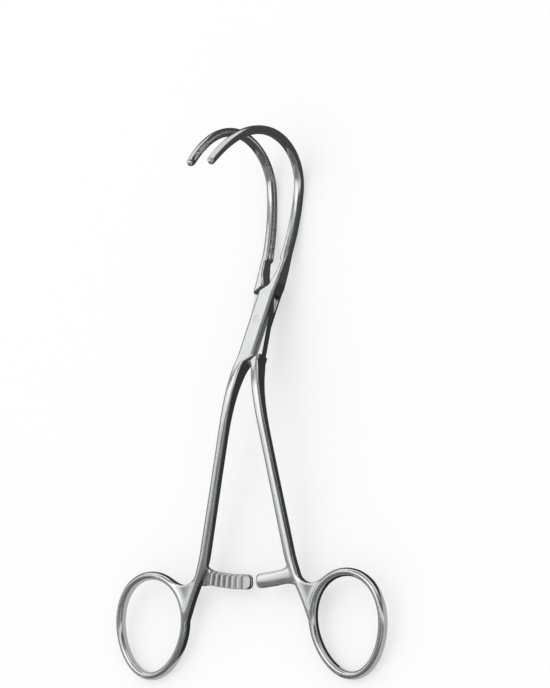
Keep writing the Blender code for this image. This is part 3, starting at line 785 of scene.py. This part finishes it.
def polishGroup():
    # Lines of the polishing belt along the metal, and broad patches where they are finer or coarser
    group, given, result = newGroup("polishing", (
        ("Place", "INPUT", "NodeSocketVector"),
        ("Line Stretch", "INPUT", "NodeSocketFloat"),
        ("Line Scale", "INPUT", "NodeSocketFloat"),
        ("Depth", "INPUT", "NodeSocketFloat"),
        ("Rough Low", "INPUT", "NodeSocketFloat"),
        ("Rough High", "INPUT", "NodeSocketFloat"),
        ("Lines", "OUTPUT", "NodeSocketFloat"),
        ("Roughness", "OUTPUT", "NodeSocketFloat"),
        ("Normal", "OUTPUT", "NodeSocketVector"),
    ))
    nodes, links = group.nodes, group.links

    # Stretch the place along the metal, so that noise turns into lines
    split = nodes.new("ShaderNodeSeparateXYZ")
    links.new(given.outputs["Place"], split.inputs[0])
    slow = nodes.new("ShaderNodeMath")
    slow.operation = "MULTIPLY"
    links.new(split.outputs[0], slow.inputs[0])
    links.new(given.outputs["Line Stretch"], slow.inputs[1])
    join = nodes.new("ShaderNodeCombineXYZ")
    links.new(slow.outputs[0], join.inputs[0])
    links.new(split.outputs[1], join.inputs[1])
    links.new(split.outputs[2], join.inputs[2])
    lines = nodes.new("ShaderNodeTexNoise")
    lines.inputs["Detail"].default_value = 5.0
    lines.inputs["Roughness"].default_value = 0.65
    links.new(join.outputs[0], lines.inputs["Vector"])
    links.new(given.outputs["Line Scale"], lines.inputs["Scale"])

    patches = nodes.new("ShaderNodeTexNoise")
    patches.inputs["Scale"].default_value = steelLook["patchScale"]
    patches.inputs["Detail"].default_value = 3.0
    links.new(given.outputs["Place"], patches.inputs["Vector"])

    blend = nodes.new("ShaderNodeMix")
    blend.inputs[0].default_value = steelLook["patchShare"]
    links.new(lines.outputs["Fac"], blend.inputs[2])
    links.new(patches.outputs["Fac"], blend.inputs[3])
    rough = nodes.new("ShaderNodeMapRange")
    smoothest, roughest = steelLook["noiseSpan"]
    rough.inputs["From Min"].default_value = smoothest
    rough.inputs["From Max"].default_value = roughest
    links.new(blend.outputs[0], rough.inputs["Value"])
    links.new(given.outputs["Rough Low"], rough.inputs["To Min"])
    links.new(given.outputs["Rough High"], rough.inputs["To Max"])

    bump = nodes.new("ShaderNodeBump")
    bump.inputs["Distance"].default_value = steelLook["lineHeight"]
    links.new(given.outputs["Depth"], bump.inputs["Strength"])
    links.new(lines.outputs["Fac"], bump.inputs["Height"])

    links.new(lines.outputs["Fac"], result.inputs["Lines"])
    links.new(rough.outputs[0], result.inputs["Roughness"])
    links.new(bump.outputs[0], result.inputs["Normal"])
    return group


def creviceShadeGroup():
    # Darkens the colour of what lies in narrow gaps, where light and the polishing wheel hardly
    # reach: painted shade, with less polish there as well
    group, given, result = newGroup("creviceShade", (
        ("Colour", "INPUT", "NodeSocketColor"),
        ("Dark", "INPUT", "NodeSocketColor"),
        ("Reach", "INPUT", "NodeSocketFloat"),
        ("Colour", "OUTPUT", "NodeSocketColor"),
    ))
    nodes, links = group.nodes, group.links
    shade = nodes.new("ShaderNodeAmbientOcclusion")
    shade.samples = 8
    shade.only_local = True
    links.new(given.outputs["Reach"], shade.inputs["Distance"])
    sharpen = nodes.new("ShaderNodeMapRange")
    dark, bright = steelLook["creviceShadeSpan"]
    sharpen.inputs["From Min"].default_value = dark
    sharpen.inputs["From Max"].default_value = bright
    links.new(shade.outputs["AO"], sharpen.inputs["Value"])
    blend = nodes.new("ShaderNodeMix")
    blend.data_type = "RGBA"
    links.new(sharpen.outputs[0], blend.inputs[0])
    links.new(given.outputs["Dark"], blend.inputs[6])
    links.new(given.outputs["Colour"], blend.inputs[7])
    links.new(blend.outputs[2], result.inputs["Colour"])
    return group


def steelMaterial(name, polishing, creviceShade):
    stretch, scale, low, high = finishes[name]
    material = bpy.data.materials.new(name)
    material.use_nodes = True
    nodes, links = material.node_tree.nodes, material.node_tree.links
    shader = nodes["Principled BSDF"]
    shader.inputs["Metallic"].default_value = 1.0
    place = nodes.new("ShaderNodeAttribute")
    place.attribute_name = "grainPlace"
    polish = nodes.new("ShaderNodeGroup")
    polish.node_tree = polishing
    polish.inputs["Line Stretch"].default_value = stretch
    polish.inputs["Line Scale"].default_value = scale
    polish.inputs["Depth"].default_value = steelLook["lineDepth"]
    polish.inputs["Rough Low"].default_value = low
    polish.inputs["Rough High"].default_value = high
    links.new(place.outputs["Vector"], polish.inputs["Place"])
    tint = nodes.new("ShaderNodeMix")
    tint.data_type = "RGBA"
    tint.inputs[6].default_value = steelLook["shade"]
    tint.inputs[7].default_value = steelLook["colour"]
    links.new(polish.outputs["Lines"], tint.inputs[0])
    # Painted shade: the colour darkens in narrow gaps, by ambient occlusion
    dark = nodes.new("ShaderNodeGroup")
    dark.node_tree = creviceShade
    dark.inputs["Dark"].default_value = steelLook["creviceShade"]
    dark.inputs["Reach"].default_value = steelLook["creviceShadeReach"]
    links.new(tint.outputs[2], dark.inputs["Colour"])
    links.new(dark.outputs["Colour"], shader.inputs["Base Color"])
    links.new(polish.outputs["Roughness"], shader.inputs["Roughness"])
    links.new(polish.outputs["Normal"], shader.inputs["Normal"])
    return material


grain = {
    "step": 0.8,
    "ringStart": 400.0,  # the ring's lines start far from those of the shank
    "least": 1e-6,  # sections closer than this count as one
}


def centreLine(mirrored):
    # Points down the middle of an arm, each with its direction and its length so far, for the grain
    flip = -1.0 if mirrored else 1.0
    points = []
    for row in shankStations() + lockStations(lock["width"]) + jawStations():
        across = flip * (row["left"] + row["right"]) / 2
        points.append(Vector((across, row["point"].x, row["point"].y)))
    loop = []
    for i in range(ring["steps"]):
        place, _ = ringLine(2 * math.pi * i / ring["steps"])
        loop.append(Vector((-flip * place.x, place.y, handleZ(place.x, place.y))))
    found = []
    for line, start in ((points, 0.0), (loop, grain["ringStart"])):
        at = start
        for a, b in zip(line, line[1:]):
            long = (b - a).length
            if long < grain["least"]:
                continue
            parts = max(1, round(long / grain["step"]))
            for k in range(parts):
                t = k / parts
                found.append((a.lerp(b, t), (b - a).normalized(), at + long * t))
            at += long
    turn = lockFromClosed()
    return [(turn @ p, turn.to_3x3() @ way, at) for p, way, at in found]


def addGrain(mesh, line):
    # Each point's place along, across and above the middle line
    tree = KDTree(len(line))
    for i, (point, _, _) in enumerate(line):
        tree.insert(point, i)
    tree.balance()
    upright = Vector((0.0, 0.0, 1.0))
    values = np.empty((len(mesh.vertices), 3))
    for vertex in mesh.vertices:
        _, i, _ = tree.find(vertex.co)
        point, way, at = line[i]
        off = vertex.co - point
        across = way.cross(upright)
        if across.length < 0.1:
            across = Vector((1.0, 0.0, 0.0))
        across.normalize()
        values[vertex.index] = (at + off.dot(way), off.dot(across), off.dot(across.cross(way)))
    attribute = mesh.attributes.new("grainPlace", "FLOAT_VECTOR", "POINT")
    attribute.data.foreach_set("vector", values.ravel())


def finishPiece(obj, turn, body, nodes, material, line):
    addGrain(obj.data, line)
    obj.data.transform(worldFromLock(turn))
    obj.data.materials.clear()
    obj.data.materials.append(material)
    obj.data.shade_smooth()
    obj.data.set_sharp_from_angle(angle=rad(skin["sharpAngle"]))
    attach(obj, body)
    if nodes:
        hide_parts(*nodes)
    print("made", obj.name, len(obj.data.polygons), "faces")


def makeBoxArm(material, teethMaterial):
    rows = shankStations() + lockStations(lock["width"]) + jawStations()
    body = closedShape([armSection(row, toothing["middleGroove"]) for row in rows], False)
    bar = ratchetBar(ratchet["frontReach"], True, False)
    forms = [body, fingerRing(True), ringWeb(True), bar]
    arm = newObject("boxArm", meshFrom(forms, "boxArm"))
    skinOver(arm)
    slot = lock["web"] / 2 + lock["sideRoom"]
    carve(arm, [
        (prism(slotOutline(), -slot, slot), "DIFFERENCE"),
        (pinHole(), "DIFFERENCE"),
        (ratchetTeeth(ratchet["frontReach"], True, False), "UNION"),
    ])
    line = centreLine(False)
    finishPiece(arm, -restTurn, "box_arm", ["box_arm"], material, line)
    sides = (toothing["sideCentre"], -toothing["sideCentre"])
    toothRows = [toothRow(centre, toothing["sideHalfWidth"], False) for centre in sides]
    teeth = newObject("boxArmTeeth", meshFrom(toothRows, "boxArmTeeth"))
    finishPiece(teeth, -restTurn, "box_arm", [], teethMaterial, line)


def makeThroughArm(material, teethMaterial):
    rows = shankStations() + lockStations(lock["webWidth"]) + jawStations()
    body = closedShape([armSection(row, toothing["sideGrooves"]) for row in rows], True)
    bar = ratchetBar(ratchet["backReach"], False, True)
    forms = [body, fingerRing(False), ringWeb(False), bar]
    arm = newObject("throughArm", meshFrom(forms, "throughArm"))
    skinOver(arm)
    web, thick = lock["web"] / 2, lock["thickness"]
    upper = webEndOutline()
    carve(arm, [
        (prism(recessOutline(), web, thick), "DIFFERENCE"),
        (prism(recessOutline(), -thick, -web), "DIFFERENCE"),
        (prism(upper, -thick, thick), "DIFFERENCE"),
        (prism([(-x, -y) for x, y in upper], -thick, thick), "DIFFERENCE"),
        (pinHole(), "DIFFERENCE"),
        (ratchetTeeth(ratchet["backReach"], False, True), "UNION"),
    ])
    line = centreLine(True)
    finishPiece(arm, restTurn, "through_arm", ["through_arm"], material, line)
    middleRow = toothRow(0.0, toothing["middleHalfWidth"], True)
    teeth = newObject("throughArmTeeth", meshFrom([middleRow], "throughArmTeeth"))
    finishPiece(teeth, restTurn, "through_arm", [], teethMaterial, line)


def makePin(material):
    # Ground flush, with a small chamfer at each end
    reach, radius, chamfer = lock["thickness"] / 2 - pin["setBack"], pin["radius"], pin["chamfer"]
    ends = (
        (-reach, radius - chamfer),
        (-reach + chamfer, radius),
        (reach - chamfer, radius),
        (reach, radius - chamfer),
    )
    rings = [[Vector((x, y, z)) for x, y in circle(r)] for z, r in ends]
    rivet = newObject("lockPin", meshFrom([loft(rings)], "lockPin"))
    along = Vector((0.0, 1.0, 0.0))
    line = [(along * (0.1 * i), along, 0.1 * i) for i in range(-20, 21)]
    finishPiece(rivet, 0.0, "box_arm", ["lock_pin"], material, line)


polishing, creviceShade = polishGroup(), creviceShadeGroup()
steel = {name: steelMaterial(name, polishing, creviceShade) for name in finishes}
print("mixed", len(steel), "steel finishes")
makeBoxArm(steel["boxArmSteel"], steel["toothSteel"])
makeThroughArm(steel["throughArmSteel"], steel["toothSteel"])
makePin(steel["pinSteel"])


# Photograph's view: the camera stands 40 degrees to the right of the clamp's front and far off
photo = {
    "turn": 40.0,
    "rise": -4.0,
    "distance": 2.0,
    "width": 550,
    "focalPixels": 5000.0,
    "sensor": 36.0,
    "clip": (0.05, 20.0),
    "centre": (0.0056, -0.0088),  # from the pivot to the picture's middle, right and up
}


def clampLay():
    # The clamp's own axes as they lie on the table
    axis = Vector(hinge["axis"]).normalized()
    tilt = math.atan2(-axis.y, axis.z) + rad(lock["lean"])
    return Matrix.Rotation(tilt, 3, "X")


def viewWays():
    turn, rise = rad(photo["turn"]), rad(photo["rise"])
    lay = clampLay()
    flat = math.cos(rise)
    right = lay @ Vector((math.cos(turn), 0.0, -math.sin(turn)))
    back = lay @ Vector((math.sin(turn) * flat, math.sin(rise), math.cos(turn) * flat))
    return right, back.cross(right), back


def makeCamera():
    right, up, back = viewWays()
    data = bpy.data.cameras.new("photoCamera")
    data.sensor_fit = "HORIZONTAL"
    data.sensor_width = photo["sensor"]
    data.lens = photo["sensor"] * photo["focalPixels"] / photo["width"]
    data.clip_start, data.clip_end = photo["clip"]
    camera = newObject("photoCamera", data)
    middle = Vector(hinge["pos_m"]) + right * photo["centre"][0] + up * photo["centre"][1]
    turn = Matrix((right, up, back)).transposed().to_4x4()
    camera.matrix_world = Matrix.Translation(middle + back * photo["distance"]) @ turn
    bpy.context.scene.camera = camera
    print("camera", photo["distance"], "m from the lock")


studio = {
    "floorSize": 12.0,
    "floorColour": (0.93, 0.93, 0.93, 1.0),
    "floorRoughness": 0.9,
    "floorGlow": 0.5,  # share of plain white that the camera and gloss see in the floor
    "worldLevel": 0.98,
    "white": (1.0, 1.0, 1.0, 1.0),
    "lampDistance": 1.05,
}

# Soft boxes: name, way from the clamp, width and height, power
softBoxes = (
    ("keySoftBox", (-0.20, 0.22, 0.95), (0.75, 0.62), 0.95),
    ("farSoftBox", (-0.64, 0.54, 0.56), (0.45, 0.5), 0.16),
    ("lowSoftBox", (-0.63, 0.03, 0.77), (0.30, 0.20), 0.07),  # for the flat faces of webs and bars
)


def seenRays(nodes, links):
    # 1 for camera, glossy and transmission rays
    path = nodes.new("ShaderNodeLightPath")
    first = nodes.new("ShaderNodeMath")
    first.operation = "MAXIMUM"
    second = nodes.new("ShaderNodeMath")
    second.operation = "MAXIMUM"
    links.new(path.outputs["Is Camera Ray"], first.inputs[0])
    links.new(path.outputs["Is Glossy Ray"], first.inputs[1])
    links.new(first.outputs[0], second.inputs[0])
    links.new(path.outputs["Is Transmission Ray"], second.inputs[1])
    return second.outputs[0]


def makeFloor():
    shape = bmesh.new()
    bmesh.ops.create_grid(shape, x_segments=1, y_segments=1, size=studio["floorSize"] / 2)
    floor = newObject("floor", meshFrom([shape], "floor"))
    material = bpy.data.materials.new("paleFloor")
    material.use_nodes = True
    nodes, links = material.node_tree.nodes, material.node_tree.links
    shader = nodes["Principled BSDF"]
    shader.inputs["Base Color"].default_value = studio["floorColour"]
    shader.inputs["Roughness"].default_value = studio["floorRoughness"]
    shader.inputs["Specular IOR Level"].default_value = 0.0
    white = nodes.new("ShaderNodeEmission")
    share = nodes.new("ShaderNodeMath")
    share.operation = "MULTIPLY"
    share.inputs[1].default_value = studio["floorGlow"]
    links.new(seenRays(nodes, links), share.inputs[0])
    blend = nodes.new("ShaderNodeMixShader")
    links.new(share.outputs[0], blend.inputs[0])
    links.new(shader.outputs[0], blend.inputs[1])
    links.new(white.outputs[0], blend.inputs[2])
    links.new(blend.outputs[0], nodes["Material Output"].inputs["Surface"])
    floor.data.materials.append(material)


def makeWorld():
    # White where the camera, gloss or glass sees it, and a plain level where it lights things
    world = bpy.data.worlds.new("studioWorld")
    bpy.context.scene.world = world
    world.use_nodes = True
    nodes, links = world.node_tree.nodes, world.node_tree.links
    plain = nodes["Background"]
    plain.inputs["Color"].default_value = studio["white"]
    plain.inputs["Strength"].default_value = studio["worldLevel"]
    white = nodes.new("ShaderNodeBackground")
    white.inputs["Color"].default_value = studio["white"]
    blend = nodes.new("ShaderNodeMixShader")
    links.new(seenRays(nodes, links), blend.inputs[0])
    links.new(plain.outputs[0], blend.inputs[1])
    links.new(white.outputs[0], blend.inputs[2])
    links.new(blend.outputs[0], nodes["World Output"].inputs["Surface"])


def makeLights():
    for name, way, size, power in softBoxes:
        way = Vector(way).normalized()
        data = bpy.data.lights.new(name, "AREA")
        data.shape = "RECTANGLE"
        data.size, data.size_y = size
        data.energy = power
        lamp = newObject(name, data)
        lamp.location = Vector(hinge["pos_m"]) + way * studio["lampDistance"]
        lamp.rotation_euler = way.to_track_quat("Z", "Y").to_euler()
    print("hung", len(softBoxes), "soft boxes")


# Studio cards that only the steel's gloss sees: name, middle, width and height, facing, grey
cards = (
    ("cardUnderShanks", (0.0, -0.01, 0.0004), (0.34, 0.12), (0.0, 0.0, 1.0), 0.05),
    ("cardUnderJaws", (0.0, 0.14, 0.0004), (0.34, 0.18), (0.0, 0.0, 1.0), 0.08),
    ("cardUnderRings", (0.0, -0.13, 0.0002), (0.34, 0.12), (0.0, 0.0, 1.0), 0.60),
    ("cardUnderRing", (0.005, -0.11, 0.0004), (0.08, 0.08), (0.0, 0.0, 1.0), 0.03),
    ("cardRight", (0.95, 0.21, 0.37), (0.32, 0.74), (-1.0, 0.0, 0.0), 0.07),
    ("cardRightFar", (0.95, 0.56, 0.37), (0.38, 0.74), (-1.0, 0.0, 0.0), 0.34),
    ("cardRightNear", (0.95, -0.50, 0.37), (0.66, 0.74), (-1.0, 0.0, 0.0), 0.20),
    ("cardCeiling", (0.62, 0.135, 0.75), (0.64, 0.17), (0.0, 0.0, -1.0), 0.05),
    ("cardCeilingFar", (0.62, 0.42, 0.75), (0.64, 0.40), (0.0, 0.0, -1.0), 0.30),
    ("cardCeilingNear", (-0.2, -0.5, 0.75), (1.8, 0.66), (0.0, 0.0, -1.0), 0.25),
    ("cardStems", (-0.15, 0.34, 0.75), (0.9, 0.16), (0.0, 0.0, -1.0), 0.70),
    ("cardJaws", (-0.15, 0.81, 0.75), (0.9, 0.78), (0.0, 0.0, -1.0), 0.26),
    ("cardJawsLeft", (-0.85, 0.34, 0.75), (0.5, 0.20), (0.0, 0.0, -1.0), 0.25),
    ("cardNear", (0.0, -0.85, 0.37), (2.2, 0.74), (0.0, 1.0, 0.0), 0.16),
    ("cardLeft", (-1.1, 0.0, 0.30), (1.6, 0.60), (1.0, 0.0, 0.0), 0.30),
)


def makeCards():
    for name, middle, size, facing, grey in cards:
        material = bpy.data.materials.new(name)
        material.use_nodes = True
        nodes, links = material.node_tree.nodes, material.node_tree.links
        glow = nodes.new("ShaderNodeEmission")
        glow.inputs["Color"].default_value = (grey, grey, grey, 1.0)
        links.new(glow.outputs[0], nodes["Material Output"].inputs["Surface"])
        nodes.remove(nodes["Principled BSDF"])
        shape = bmesh.new()
        bmesh.ops.create_grid(shape, x_segments=1, y_segments=1, size=0.5)
        card = newObject(name, meshFrom([shape], name))
        card.scale = (size[0], size[1], 1.0)
        card.location = middle
        card.rotation_euler = Vector(facing).to_track_quat("Z", "Y").to_euler()
        card.data.materials.append(material)
        card.visible_camera = card.visible_diffuse = False
        card.visible_transmission = card.visible_shadow = False
    print("stood", len(cards), "cards about the clamp")


makeCamera()
makeFloor()
makeWorld()
makeLights()
makeCards()

scene = bpy.context.scene
scene.view_settings.view_transform = "Standard"
